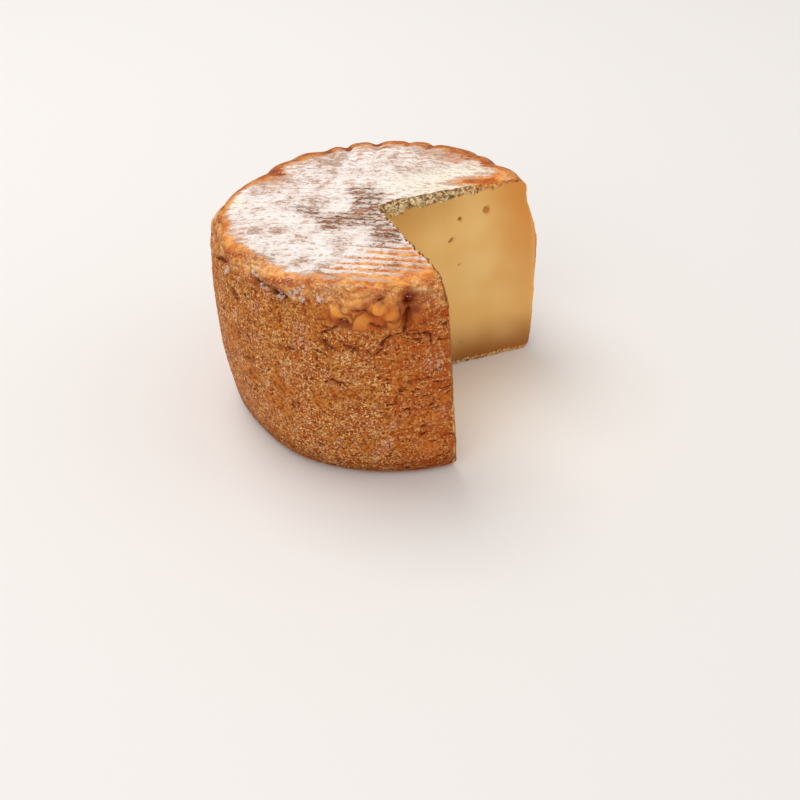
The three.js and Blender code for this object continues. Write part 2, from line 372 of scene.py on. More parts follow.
class Place:
    """Where a point lies on the wheel before its relief, in millimetres from the axis and the floor."""

    def __init__(self, pattern, spot, sizes):
        self.pattern = pattern
        self.spot = spot
        parts = pattern.node("ShaderNodeSeparateXYZ", None, {0: spot}).end.node.outputs
        self.x, self.y, self.z = (Socket(pattern, end) for end in parts)
        flat = pattern.vector("MULTIPLY", self.spot, (1, 1, 0))
        self.radius = pattern.vector("LENGTH", flat)
        self.outward = pattern.vector("NORMALIZE", flat)
        back = math.radians(BACK_AZIMUTH)
        ahead = pattern.vector("DOT_PRODUCT", flat, (math.cos(back), math.sin(back), 0))
        aside = pattern.vector("DOT_PRODUCT", flat, (-math.sin(back), math.cos(back), 0))
        self.arc_radius = sizes.top_radius / MM
        self.arc = pattern.maths("ARCTAN2", aside, ahead) * self.arc_radius
        self.unrolled = pattern.combine(self.arc, self.z, 0)
        self._mat(sizes)

    def _mat(self, sizes):
        """The place to the right and away as photographed, and across the mat's slightly fanned ridges."""
        pattern = self.pattern
        view = math.radians(-VIEW_TURN)
        across_view = (math.sin(view), math.cos(view), 0)
        along_view = (math.cos(view), -math.sin(view), 0)
        self.view_x = pattern.vector("DOT_PRODUCT", self.spot, along_view)
        self.view_y = pattern.vector("DOT_PRODUCT", self.spot, across_view)
        fan = self.view_x * sizes.ridge_slope + self.view_x * self.view_x * sizes.ridge_fan
        self.across = (self.view_y + fan) * math.cos(math.atan(sizes.ridge_slope))

    def arc_gap(self, azimuth):
        """Millimetres round the wheel from an azimuth in degrees."""
        return self.arc - math.radians(wrapped(azimuth)) * self.arc_radius


def from_axis(pattern, position):
    """A position in metres as millimetres from the wheel's axis."""
    return pattern.vector("SCALE", pattern.vector("SUBTRACT", position, tuple(AXIS)), scale=1 / MM)


def bell_mark(place, azimuth, height, half_width, half_height):
    """1 at a mark of the side, falling to 0 round it."""
    pattern = place.pattern
    wide = place.arc_gap(azimuth) / half_width
    high = (place.z - height) / half_height
    return pattern.maths("EXPONENT", -(wide * wide + high * high))


def patch_mark(place, along, across, half_length, half_width):
    """1 at a patch of the top, falling to 0 round it."""
    long = (place.view_x - along) / half_length
    wide = (place.view_y - across) / half_width
    return place.pattern.maths("EXPONENT", -(long * long + wide * wide))


def rind_cracks(place):
    """About 0 on the lines of the cracks, 1 at their edges and more outside, broken up by noise."""
    pattern = place.pattern
    wander = pattern.noise_vector(place.spot, 2.6, 0.6)
    spot = pattern.vector("ADD", place.unrolled, wander)
    spot = pattern.vector("MULTIPLY", spot, (1, 1, 0))

    def unrolled(azimuth, height):
        return Vector((math.radians(wrapped(azimuth)) * place.arc_radius, height, 0))

    def gaps():
        """The distance from each straight piece of a crack, in shares of the crack's width."""
        for width, *points in CRACKS:
            for start, end in zip(points, points[1:]):
                first = unrolled(*start)
                run = unrolled(*end) - first
                offset = pattern.vector("SUBTRACT", spot, tuple(first))
                along = pattern.vector("DOT_PRODUCT", offset, tuple(run / run.length_squared))
                covered = pattern.vector("SCALE", tuple(run), scale=pattern.clamp(along))
                nearest = pattern.vector("ADD", covered, tuple(first))
                yield pattern.vector("DISTANCE", spot, nearest) / width

    return pattern.combined("MINIMUM", gaps()) + (pattern.noise(place.spot, 2.4, 3.0, 0.6) - 0.42) * 2.4


def near_cut_gap(place, sizes):
    """Millimetres from the plane of the near cut into the cheese."""
    turn = math.radians((sizes.near_cut_top + sizes.near_cut_base) / 2)
    into = (math.sin(turn), -math.cos(turn), 0)
    tip = Vector((*sizes.cut_tip, 0)) / MM
    return place.pattern.vector("DOT_PRODUCT", place.spot, into) - tip.dot(Vector(into))


def soft_field(place, mark, marks):
    """The sum of soft marks of one kind, each with its strength last."""
    return place.pattern.combined("ADD", (mark(place, *where) * strength for *where, strength in marks))


def notch_mark(place, azimuth, half_width):
    """1 at an azimuth of the rim, falling to 0 past a half width in degrees."""
    return place.pattern.bell(place.arc_gap(azimuth) / (math.radians(half_width) * place.arc_radius))


def rim_outline(place, sizes):
    """How far the swollen, scalloped outline stands outside the plain wheel, in millimetres."""
    pattern = place.pattern
    top = sizes.height / MM
    swell = notch_mark(place, sizes.swell_azimuth, sizes.swell_half_width)
    rim = swell * (sizes.rim_swell / MM) - sizes.rim_inset / MM - soft_field(place, notch_mark, RIM_DENTS)
    share = pattern.step(place.z, top - sizes.rim_depth / MM, top - sizes.rim_full_depth / MM)
    low = pattern.step(place.z, sizes.base_rise / MM, 0)
    base = soft_field(place, notch_mark, BASE_DENTS) * low
    high = pattern.step(place.z, top - sizes.shoulder_round / MM, top)
    shoulder = soft_field(place, notch_mark, SHOULDER_DENTS) * high
    return swell * (sizes.back_swell / MM) + rim * share - base - shoulder


def plain_radius(place, sizes):
    """Radius of the plain wheel at a point's height in millimetres, a curve through base, belly and top."""
    share = place.z / (sizes.height / MM)
    base = (1 - share) * (1 - share * 2) * (sizes.base_radius / MM)
    belly = share * (1 - share) * (4 * sizes.belly_radius / MM)
    return base + belly + share * (share * 2 - 1) * (sizes.top_radius / MM)


def mat_ridges(place, sizes):
    """Height of the mat's ridges from 0 to 1, wandering a little."""
    pattern = place.pattern
    wander = (pattern.noise(place.spot, 17, 1.0) - 0.5) * 2.6
    ripple = (pattern.noise(place.spot, 3.5, 2.0) - 0.5) * 1.1
    phase = (place.across + wander + ripple) * (math.pi * MM / sizes.ridge_spacing)
    return abs(pattern.maths("SINE", phase)) ** 0.75


def fibres(place):
    """Streaky noise along the ridges, from 0 to 1."""
    pattern = place.pattern
    stretched = pattern.combine(place.view_x / 4.5, place.across, place.z / 2)
    return pattern.noise(stretched, 1.25, 3.0, 0.62)


def side_grain(place):
    """Fine lumpy grain of the smoked rind, from 0 to 1."""
    return place.pattern.noise(place.spot, 1.7, 3.0, 0.7)


def thin_flakes(place):
    """1 along the thin curly flakes of the rind, falling to 0 beside them."""
    pattern = place.pattern
    slanted = pattern.combine(place.arc / 1.5 - place.z * 0.2, place.z, place.radius / 1.5)
    middle = abs(pattern.noise(slanted, 1.7, 2.0, 0.55) - 0.5)
    return pattern.step(middle, 0.05, 0.01)


def rim_folds(place):
    """0 in the creases between the folds of the rim, rising to 1 on the folds."""
    pattern = place.pattern
    squeezed = pattern.combine(place.arc / 1.9, place.radius, place.z * 1.2)
    middle = abs(pattern.noise(squeezed, 5.5, 2.0, 0.5, 0.5) - 0.5)
    return pattern.step(middle, 0.0, 0.12)


def pebbles(place):
    """0 in the creases between the smooth lumps under the rim, rising to 1 on the lumps."""
    pattern = place.pattern
    spot = pattern.vector("ADD", place.spot, pattern.noise_vector(place.spot, 5.5, 2.6))
    return pattern.step(pattern.cells(spot, 8.5, "DISTANCE_TO_EDGE"), 0.0, 0.13)


def geometry_group(name):
    """An empty geometry group with a geometry in and out, and its pattern and two ends."""
    group = bpy.data.node_groups.new(name, "GeometryNodeTree")
    group.interface.new_socket("Geometry", in_out="INPUT", socket_type="NodeSocketGeometry")
    group.interface.new_socket("Geometry", in_out="OUTPUT", socket_type="NodeSocketGeometry")
    pattern = Pattern(group)
    start = pattern.node("NodeGroupInput")
    end = group.nodes.new("NodeGroupOutput")
    return group, pattern, start, end


def apply_group(piece, group):
    """Runs a geometry group on a piece and keeps its result."""
    modifier = piece.modifiers.new(group.name, "NODES")
    modifier.node_group = group
    activate(piece)
    bpy.ops.object.modifier_apply(modifier=modifier.name)


def activate(piece):
    """Makes a piece the only one selected."""
    bpy.ops.object.select_all(action="DESELECT")
    piece.select_set(True)
    bpy.context.view_layer.objects.active = piece


def centred(piece):
    """Puts a piece's place into its mesh, with the object at the origin."""
    activate(piece)
    bpy.ops.object.transform_apply(location=True, rotation=True, scale=True)


def select_where(piece, kind, test):
    """Selects in edit mode the vertices, edges or faces that pass the test."""
    bpy.ops.object.mode_set(mode="EDIT")
    bpy.ops.mesh.select_mode(type={"vertices": "VERT", "edges": "EDGE", "polygons": "FACE"}[kind])
    bpy.ops.mesh.select_all(action="DESELECT")
    bpy.ops.object.mode_set(mode="OBJECT")
    for element in getattr(piece.data, kind):
        element.select = test(element)
    bpy.ops.object.mode_set(mode="EDIT")


def finish_piece(piece, slot, *materials):
    """Gives a finished piece its materials and body, and hides the solid it stands for."""
    piece.data.materials.clear()
    for material in materials:
        piece.data.materials.append(material)
    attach(piece, "root")
    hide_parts(NODE)


def whole_wheel(sizes):
    """The round wheel before it is cut, as an even mesh of small faces."""
    middle = (AXIS.x, AXIS.y, sizes.height / 2)
    bpy.ops.object.select_all(action="DESELECT")
    bpy.ops.mesh.primitive_cylinder_add(
        vertices=sizes.round_sides, radius=sizes.top_radius, depth=sizes.height - 2 * HAIR, location=middle
    )
    wheel = bpy.context.object
    wheel.name = WHEEL
    wheel.data.name = wheel.name
    centred(wheel)

    # Rounds the edge of the top and that of the base
    for level, offset, segments in (
        (sizes.height - HAIR, sizes.shoulder_round, 8),
        (HAIR, sizes.base_round, 4),
    ):
        def at_level(edge):
            return all(abs(wheel.data.vertices[i].co.z - level) < MM / 10 for i in edge.vertices)

        select_where(wheel, "edges", at_level)
        bpy.ops.mesh.bevel(offset=offset, segments=segments, profile=0.5, affect="EDGES")
        bpy.ops.object.mode_set(mode="OBJECT")

    remesh = wheel.modifiers.new("even_faces", "REMESH")
    remesh.mode = "VOXEL"
    remesh.voxel_size = sizes.face_size
    activate(wheel)
    bpy.ops.object.modifier_apply(modifier=remesh.name)
    return wheel


def wheel_relief(sizes):
    """The geometry group that gives the wheel its outline, ridges, lumps, cracks and grain."""
    group, pattern, start, end = geometry_group("wheel_relief")
    position = pattern.node("GeometryNodeInputPosition")
    normal = pattern.node("GeometryNodeInputNormal")
    place = Place(pattern, from_axis(pattern, position), sizes)
    upward = pattern.vector("DOT_PRODUCT", normal, (0, 0, 1))
    top_share = pattern.step(upward, 0.35, 0.9)
    side_share = pattern.step(abs(upward), 0.8, 0.3)
    top = sizes.height / MM

    # Moves straight out from the axis: the outline and a slow unevenness
    outline = plain_radius(place, sizes) - sizes.top_radius / MM + rim_outline(place, sizes)
    slow = (pattern.noise(place.spot, 24, 1.0) - 0.5) * 1.6
    radial = outline * place.radius / (sizes.top_radius / MM) + slow * side_share

    # Moves along the normal on the side, in millimetres
    dents = soft_field(place, bell_mark, SIDE_MARKS)
    smooth = amber_share(place)
    near_top = pattern.step(place.z, top - 15, top - 7)
    rough = (1 - smooth * 0.85) * (1 - near_top * 0.6)
    grain = (side_grain(place) - 0.5) * 1.25 * rough - 0.22
    puckers = (pattern.noise(place.spot, 7, 1.0) - 0.5) * 1.4
    folds = near_top * (puckers + (rim_folds(place) - 1) * 0.9)
    cracks = pattern.step(rind_cracks(place), 1.2, 0.2)
    side = grain - dents + folds + (pebbles(place) - 0.8) * smooth * 0.8 - cracks * 0.9
    off_base = pattern.step(place.z, 0.5, 3.5)

    # Moves along the normal on the top, in millimetres
    inside_rim = pattern.step(place.radius, 61, 52)
    ridges = mat_ridges(place, sizes) * (sizes.ridge_height / MM) - 0.6 * sizes.ridge_height / MM
    fibre = (fibres(place) - 0.5) * 0.7
    wave = (pattern.noise(place.spot, 26, 1.0) - 0.5) * 0.9
    front = pattern.step(place.view_y, 5, -35) * 0.75 + 0.25
    crest = (ridges * front + fibre) * (0.35 + inside_rim * 0.65) + wave * inside_rim - 0.3

    skin = side * side_share * off_base + crest * top_share
    moved = pattern.vector(
        "ADD",
        pattern.vector("SCALE", place.outward, scale=radial * MM),
        pattern.vector("SCALE", normal, scale=skin * MM),
    )
    kept = store_fields(pattern, place, start)
    shaped = pattern.node("GeometryNodeSetPosition", None, {"Geometry": kept, "Offset": moved})
    group.links.new(shaped.end, end.inputs[0])
    return group


def amber_share(place):
    """1 on the smooth amber lumps under the front of the rim."""
    return place.pattern.clamp(bell_mark(place, -113, 69, 16, 6.5) * 1.35)


def lump_field(place):
    """1 on the lumps under the rim, falling to 0 between them."""
    lumps = (bell_mark(place, *mark) for *mark, depth in SIDE_MARKS if depth < 0)
    return place.pattern.combined("MAXIMUM", lumps)


def mould_field(place):
    """1 at the crumbs of mould under the rim, falling to 0 round them."""
    marks = ((azimuth, height, size, size * 0.8, 1.0) for azimuth, height, size in MOULD_SPOTS)
    return soft_field(place, bell_mark, marks)


# Wide soft fields of the rind that the mesh carries for its material
FIELDS = {
    "amber": amber_share,
    "lump": lump_field,
    "stain": lambda place: soft_field(place, bell_mark, STAINS),
    "notch": lambda place: soft_field(place, notch_mark, BACK_DENTS),
    "mould": mould_field,
    "bare": lambda place: soft_field(place, patch_mark, BARE_PATCHES),
    "dark": lambda place: soft_field(place, patch_mark, DARK_PATCHES),
}


def store_fields(pattern, place, geometry):
    """Keeps the spot before the relief and the soft fields as attributes of the mesh."""

    def store(kept, kind, name, value):
        inputs = {"Geometry": kept, "Name": name, "Value": value}
        return pattern.node("GeometryNodeStoreNamedAttribute", {"data_type": kind, "domain": "POINT"}, inputs)

    kept = store(geometry, "FLOAT_VECTOR", "spot", place.spot)
    for name, field in FIELDS.items():
        kept = store(kept, "FLOAT", name, field(place))
    return kept


def cut_azimuths(sizes):
    """Azimuths of the far cut, and of the near cut at its top and its base, in radians."""
    far = math.radians(sizes.far_cut)
    near_top = math.radians(sizes.near_cut_top)
    near_base = math.radians(sizes.near_cut_base)
    return far, near_top, near_base


def tip_point(sizes):
    """Where the two cuts meet, on the floor."""
    return AXIS + Vector((*sizes.cut_tip, 0.0))


def cutter(sizes):
    """The block of air between the cut faces, with fine faces where it meets the cheese."""
    far, near_top, near_base = cut_azimuths(sizes)
    tip = tip_point(sizes)
    reach = sizes.top_radius + 10 * MM
    margin = 4 * MM
    tall = sizes.height + 2 * margin
    bpy.ops.object.select_all(action="DESELECT")
    middle = tip + Vector((reach / 2, -reach / 2, sizes.height / 2))
    bpy.ops.mesh.primitive_cube_add(size=1, location=middle, scale=(reach, reach, tall))
    block = bpy.context.object
    block.name = "cutting_block"
    centred(block)

    def corner(x, y, z):
        """A test for corners: right or left, front or back and, unless z is None, top or bottom."""

        def test(vertex):
            spot = vertex.co - tip
            fits_x = (spot.x > reach / 2) == x
            fits_y = (spot.y < -reach / 2) == y
            fits_z = z is None or (spot.z > sizes.height / 2) == z
            return fits_x and fits_y and fits_z

        return test

    moves = (
        (corner(True, False, None), (0, reach * math.tan(far), 0)),
        (corner(False, True, True), (reach / math.tan(-near_top), 0, 0)),
        (corner(False, True, False), (reach / math.tan(-near_base), 0, 0)),
    )
    for test, move in moves:
        select_where(block, "vertices", test)
        bpy.ops.transform.translate(value=move)
        bpy.ops.object.mode_set(mode="OBJECT")

    def beside_tip(face):
        return abs(face.normal.z) < 0.5 and (face.normal.y > 0.9 or face.normal.x < -0.9)

    select_where(block, "polygons", beside_tip)
    bpy.ops.mesh.subdivide(number_cuts=int(tall / sizes.cut_face_size))
    bpy.ops.object.mode_set(mode="OBJECT")
    return block


def eye_hollow(pattern, distance, height, eyes):
    """Above 0 inside the eyes of a cut face, 1 at their middles."""

    def hollow(at, up, half_width, half_height, tilt):
        turn = math.radians(tilt)
        wide = (distance - at) * math.cos(turn) + (height - up) * math.sin(turn)
        high = (height - up) * math.cos(turn) - (distance - at) * math.sin(turn)
        return 1 - (wide / half_width) ** 2 - (high / half_height) ** 2

    deepest = pattern.combined("MAXIMUM", (hollow(*eye) for eye in eyes))
    return pattern.maths("MAXIMUM", deepest, 0.0)


def base_crust_share(pattern, spot, height):
    """1 in the ragged crust along the base of a cut face."""
    return pattern.step(height + (pattern.noise(spot, 2.4, 2.0) - 0.5) * 3, 1.6, 0.9)


def crust_share(pattern, distance, height, wander, sizes):
    """1 in the ragged crust along the top of a cut face, thicker towards the tip."""
    top = sizes.height / MM
    thick = 1.5 + pattern.step(distance, 60, 12) * 2.0
    edge = height + (wander - 0.5) * 5.5 - (top - thick)
    return pattern.step(edge, -0.45, 0.45)


def broken_back(pattern, distance, height, sizes):
    """Millimetres by which the crust along the top of a cut has broken back from its plane."""
    top = sizes.height / MM
    slope = pattern.step(height, top - 3.6, top - 0.4)
    return slope * pattern.step(distance, 0.5, 8) * pattern.step(distance, 52, 30) * 2.4


def cut_relief(sizes):
    """The geometry group that roughens the block where it cuts: crust, eyes and unevenness."""
    group, pattern, start, end = geometry_group("cut_relief")
    position = pattern.node("GeometryNodeInputPosition")
    far, near_top, near_base = cut_azimuths(sizes)
    near = (near_top + near_base) / 2
    from_tip = pattern.vector("SUBTRACT", position, tuple(tip_point(sizes)))
    spot = pattern.vector("SCALE", from_tip, scale=1 / MM)
    height = pattern.vector("DOT_PRODUCT", spot, (0, 0, 1))
    shaped = start
    for azimuth, eyes, outward, broken in ((far, FAR_EYES, 1, 1), (near, NEAR_EYES, -1, 0.2)):
        ahead = (math.cos(azimuth), math.sin(azimuth), 0)
        aside = (-math.sin(azimuth) * outward, math.cos(azimuth) * outward, 0)
        distance = pattern.vector("DOT_PRODUCT", spot, ahead)
        off_plane = pattern.vector("DOT_PRODUCT", spot, aside)
        on_face = pattern.step(abs(off_plane), 2.6, 2.4) * pattern.step(distance, 0.5, 1.6)

        # Millimetres dug into the cheese: slow waves, crumbly crust, eyes and crust broken back
        crumbly = pattern.noise(spot, 1.9, 3.0, 0.6)
        crust = crust_share(pattern, distance, height, pattern.noise(spot, 3.4, 2.0), sizes)
        base_crust = base_crust_share(pattern, spot, height)
        dug = (pattern.noise(spot, 9, 2.0) - 0.5) * 0.35 + (0.46 - crumbly) * crust * 4.2
        dug = dug + (0.47 - crumbly) * (base_crust * 2.2 + pattern.step(distance, 57, 61) * 1.2)
        dug = dug + pattern.maths("SQRT", eye_hollow(pattern, distance, height, eyes)) * 1.6
        dug = dug + broken_back(pattern, distance, height, sizes) * (0.5 + crumbly) * broken
        move = pattern.vector("SCALE", aside, scale=dug * on_face * MM)
        shaped = pattern.node("GeometryNodeSetPosition", None, {"Geometry": shaped, "Offset": move})
    group.links.new(shaped.end, end.inputs[0])
    return group


def new_material(name):
    """A new material with nodes, and the pattern that adds to them."""
    material = bpy.data.materials.new(name)
    material.use_nodes = True
    return material, Pattern(material.node_tree)


def carried(pattern, name, output):
    """What the mesh carries under a name: a vector from output 1, a number from output 2."""
    return pattern.node("ShaderNodeAttribute", {"attribute_name": name}, None, output)


class Rind:
    """The rind's layers of colour, and the noises and soft fields that they share."""

    def __init__(self, pattern, sizes, colours):
        self.pattern = pattern
        self.sizes = sizes
        self.colours = colours
        self.top = sizes.height / MM
        self.place = Place(pattern, carried(pattern, "spot", 1), sizes)
        self.fields = {name: carried(pattern, name, 2) for name in FIELDS}
        spot = self.place.spot
        self.grain = side_grain(self.place)
        self.fine = pattern.noise(spot, 0.8, 2.0, 0.6)
        self.patchy = pattern.noise(spot, 4.2, 3.0, 0.6)
        self.mottle = pattern.noise(spot, 10, 2.0, 0.55)
        self.amber = self.fields["amber"]
        self.rough_share = (1 - self.amber * 0.85) * pattern.step(self.mottle, 0.3, 0.55)
        self.cracks = rind_cracks(self.place)

    def grainy_side(self):
        """Speckled brown and tan, redder towards the near cut, with pale flakes, pale specks that are partly
        painted highlights, and dark pores that are partly painted shade.
        """
        pattern, place, colours = self.pattern, self.place, self.colours
        fine, mottle, rough_share = self.fine, self.mottle, self.rough_share
        speckle = pattern.noise(place.spot, 1.15, 2.0, 0.65)
        self.tan_share = pattern.step(speckle * 0.65 + self.grain * 0.35, 0.42, 0.56)
        side = pattern.mix(self.tan_share, colours.rind_brown, colours.rind_tan)
        right = pattern.step(place.arc_gap(-105) + (mottle - 0.5) * 30, -14, 8)
        side = pattern.mix(right * 0.45, side, colours.rind_orange)
        reddish = pattern.step(mottle + right * 0.05, 0.46, 0.66)
        side = pattern.mix(reddish * 0.5, side, colours.rind_red)
        # Pale specks: partly the grain's own pale tan, partly painted highlights on its bumps
        flecks_and_glints = pattern.step(fine, 0.55, 0.63) * rough_share
        side = pattern.mix(flecks_and_glints * (0.95 - right * 0.35), side, colours.rind_fleck)
        self.flakes = thin_flakes(place)
        flaked = self.flakes * pattern.step(self.patchy, 0.42, 0.6)
        side = pattern.mix(flaked * rough_share * (0.75 - right * 0.35), side, colours.rind_fleck)
        # Dark pores: partly their own dark brown, partly painted shade in them
        pores_and_shade = pattern.step(speckle * 0.7 + fine * 0.3, 0.42, 0.35)
        side = pattern.mix(pores_and_shade * rough_share * 0.95, side, colours.rind_dark)

        # Streaks that lie level round the wheel: broad red ones and thin dark ones
        level = pattern.combine(place.arc / 4.5, place.z + mottle * 5, place.radius / 3)
        streaks = pattern.step(pattern.noise(level, 2.3, 3.0, 0.6), 0.5, 0.64)
        side = pattern.mix(streaks * (0.15 + right * 0.55), side, colours.rind_red)
        dashes = pattern.step(pattern.noise(level, 1.35, 2.0, 0.55) + right * 0.04, 0.64, 0.7)
        side = pattern.mix(dashes * (1 - self.amber) * 0.85, side, colours.crack)

        cloud = pattern.step(pattern.noise(place.spot, 8, 3.0, 0.6), 0.53, 0.64)
        haze = cloud * pattern.step(fine, 0.42, 0.6)
        return pattern.mix(haze * rough_share * 0.5, side, colours.rind_haze)

    def amber_lumps(self, side):
        """Smooth amber lumps under the front of the rim, with painted shade in the hollows and creases
        between them, and stains round the pit.
        """
        pattern, place, colours = self.pattern, self.place, self.colours
        patchy = self.patchy
        lump = self.fields["lump"] + (patchy - 0.5) * 0.9 + (self.fine - 0.5) * 0.3
        # Amber on the lumps' tops, painted shade in the hollows between them
        glazed = pattern.mix(pattern.step(lump, 0.08, 0.62), colours.amber_hollow_shade, colours.amber)
        beside_pit = pattern.step(place.arc_gap(-108), -6, 10)
        glazed = pattern.mix(beside_pit * 0.5, glazed, colours.rind_orange)
        glazed = pattern.mix(pattern.step(place.z, 71, 61) * 0.55, glazed, colours.rind_red)
        # Painted shade in the creases between the pebbly lumps
        creases = (1 - pebbles(place)) ** 1.5 * pattern.step(self.mottle + (patchy - 0.5) * 0.5, 0.36, 0.52)
        glazed = pattern.mix(creases * 0.8, glazed, colours.stain)
        side = pattern.mix(pattern.step(self.amber + (patchy - 0.5) * 0.6, 0.25, 0.7), side, glazed)
        self.stained = pattern.clamp(self.fields["stain"] * (0.3 + patchy * 1.3) - 0.08)
        return pattern.mix(self.stained * 0.9, side, colours.stain)

    def bare_rim(self, side):
        """Waxy orange band of the shoulder with painted highlights, painted shade in the creases between its
        folds and in the notches between the scallops, and darker towards the far left and the back.
        """
        pattern, place, colours = self.pattern, self.place, self.colours
        mottle = self.mottle
        folds = rim_folds(place)
        shoulder = pattern.step(place.z + (mottle - 0.5) * 8, self.top - 9.0, self.top - 4.5)
        self.shoulder = shoulder * (1 - self.stained) * (1 - self.amber * 0.5)
        around = pattern.combine(place.arc / 2.2, place.radius, place.z)
        wax = pattern.noise(around, 3.6, 2.0, 0.5)
        band = pattern.mix(pattern.step(wax, 0.36, 0.56), colours.rim_deep, colours.rim)
        # Painted highlights: pale patches of light on the waxy band
        band = pattern.mix(pattern.step(wax, 0.56, 0.7) * 0.6, band, colours.rim_highlight)
        # Painted shade in the creases between the rim's folds
        band = pattern.mix((1 - folds) * 0.65, band, colours.rim_dark)
        # Painted glints of light on the band
        band = pattern.mix(pattern.step(self.fine, 0.53, 0.63) * 0.6, band, colours.rim_highlight)
        band = pattern.mix(pattern.step(place.view_x, -38, -58) * 0.3, band, colours.rim_dark)
        band = pattern.mix(pattern.step(place.view_y, 5, 35) * 0.5, band, colours.rim_dark)
        side = pattern.mix(self.shoulder, side, band)
        high = pattern.step(place.z, self.top - 26, self.top - 6)
        # Painted shade in the hollows between the back's scallops
        self.notch = pattern.step(self.fields["notch"] + (mottle - 0.5) * 1.5, 0.8, 3.2) * high
        return pattern.mix(self.notch * 0.75, side, colours.rim_dark)

    def worn_side(self, side):
        """Darker foot, partly painted shade, cracks with painted shade in them, smears of mould in the
        creases and the edge chipped by the near cut.
        """
        pattern, place, colours = self.pattern, self.place, self.colours
        # Darker towards the foot: partly a redder rind, partly painted shade near the floor
        low = pattern.step(place.z + (self.mottle - 0.5) * 7, 12.0, 0.5)
        side = pattern.mix(low * 0.5, side, colours.rind_dark)
        side = pattern.mix(pattern.step(self.cracks, 2.8, 0.5) * 0.45, side, colours.stain)
        # The cracks' own dark red, with painted shade in them
        side = pattern.mix(pattern.step(self.cracks, 0.9, 0.1) * 0.85, side, colours.crack)
        smear = pattern.step(self.fields["mould"] + (self.fine - 0.5) * 1.6, 0.55, 0.95)
        side = pattern.mix(smear * 0.8, side, colours.mould)
        edge = near_cut_gap(place, self.sizes) + (self.fine - 0.5) * 1.1
        chipped = pattern.step(edge, 0.5, 0.25) * pattern.step(place.y, -2, -10)
        chipped = chipped * pattern.step(self.patchy, 0.4, 0.55)
        return pattern.mix(chipped * 0.75, side, colours.paste_edge)

    def bloomed_top(self):
        """White bloom over orange skin, worn off the ridges at the front and dark with mould in patches."""
        pattern, place, colours = self.pattern, self.place, self.colours
        patchy = self.patchy
        self.strand = strand = fibres(place)
        ridge = mat_ridges(place, self.sizes)
        wide = pattern.noise(place.spot, 13, 2.0, 0.55)
        bare = self.fields["bare"]
        dark = self.fields["dark"]

        # How far the bloom covers: less by the rim, on bare patches and between the front's ridges
        back = pattern.step(place.view_y, 8, 42) * 3.4
        ragged = (wide - 0.5) * 11 + (patchy - 0.5) * 7 + (strand - 0.5) * 9
        rim_fade = pattern.step(place.radius + back + ragged, 54.0, 59.0)
        stretched = pattern.combine(place.view_x / 2.4, place.across, place.z)
        threads = pattern.noise(stretched, 1.1, 5.0, 0.75)
        slant = place.view_y - place.view_x * 0.35 + (wide - 0.5) * 16
        front = pattern.step(slant, -33, -42) * pattern.step(place.view_x, -30, 0)
        gaps = pattern.step(ridge + (strand - 0.5) * 0.9 + (1 - front) * 0.45, 0.86, 0.6)
        gaps = gaps * pattern.step(front, 0.0, 0.3)
        cover = strand * 0.6 + threads * 0.6 + wide * 0.6 + patchy * 0.5 - bare * 0.34 - front * 0.05
        cover = cover + (ridge - 0.6) * 0.12 - rim_fade * 0.95 - 0.36
        self.thin = pattern.step(cover, 0.38, 0.5)
        thick = pattern.step(cover, 0.56, 0.74)

        skin = pattern.mix(pattern.step(patchy, 0.36, 0.6), colours.rim_deep, colours.rim)
        # Painted shade in the scallop hollows of the bare rim, and darker towards the back
        skin = pattern.mix(pattern.clamp(self.notch * 0.6 + back * 0.11), skin, colours.rim_dark)
        skin = pattern.mix(pattern.step(bare, 1.2, 1.8) * 0.7, skin, colours.rind_red)
        upper = pattern.mix(self.thin * 0.9, skin, colours.bloom_thin)

        # Thick bloom is creamy along the far cut and veiled with pink elsewhere
        creamy = pattern.step(place.view_x * 0.5 - abs(place.view_y - 14) + (wide - 0.5) * 30, -10, 12)
        creamy = pattern.clamp(creamy + patch_mark(place, -56, 7, 4, 4) * 2)
        fluffy = pattern.mix(creamy, colours.bloom_white, colours.bloom_cream)
        veil = pattern.step(wide + (strand - 0.5) * 0.5, 0.42, 0.62) * (1 - creamy)
        fluffy = pattern.mix(veil * 0.38, fluffy, colours.bloom_thin)
        upper = pattern.mix(thick, upper, fluffy)
        streaks = pattern.step(threads + (wide - 0.5) * 0.7, 0.54, 0.63) * (1 - creamy * 0.7)
        upper = pattern.mix(streaks * 0.75, upper, colours.bloom_dusky)
        upper = pattern.mix(gaps * 0.9, upper, pattern.mix(streaks * 0.7, skin, colours.rim_dark))

        # Dark mould, specks and spots of bare skin
        dusky = pattern.step(dark * 1.1 + (patchy - 0.5) * 0.9 + (wide - 0.5) * 0.9, 0.3, 0.85)
        soot = dusky * pattern.step(threads + (patchy - 0.5) * 0.3 + (0.6 - ridge) * 0.25, 0.46, 0.56)
        upper = pattern.mix(dusky * 0.3, upper, colours.bloom_dusky)
        upper = pattern.mix(soot * 0.8, upper, colours.bloom_grey)
        specks = pattern.step(pattern.noise(stretched, 0.9, 2.0, 0.6) + dusky * 0.05, 0.6, 0.65)
        speck_share = specks * (0.35 + pattern.step(wide, 0.48, 0.66) * 0.3 + dusky * 0.6)
        upper = pattern.mix(pattern.clamp(speck_share), upper, colours.speck)
        ember_spot = pattern.combine(place.view_x / 2.2, place.across, place.z)
        embers = pattern.step(pattern.noise(ember_spot, 1.9, 3.0) + dusky * 0.03, 0.61, 0.66)
        upper = pattern.mix(pattern.clamp(embers * (0.4 + dusky * 0.3)), upper, colours.ember)
        on_top = pattern.step(place.z, self.top - 3.4, self.top - 1.5)
        self.top_share = on_top * pattern.step(rim_fade, 1.0, 0.7)
        return upper

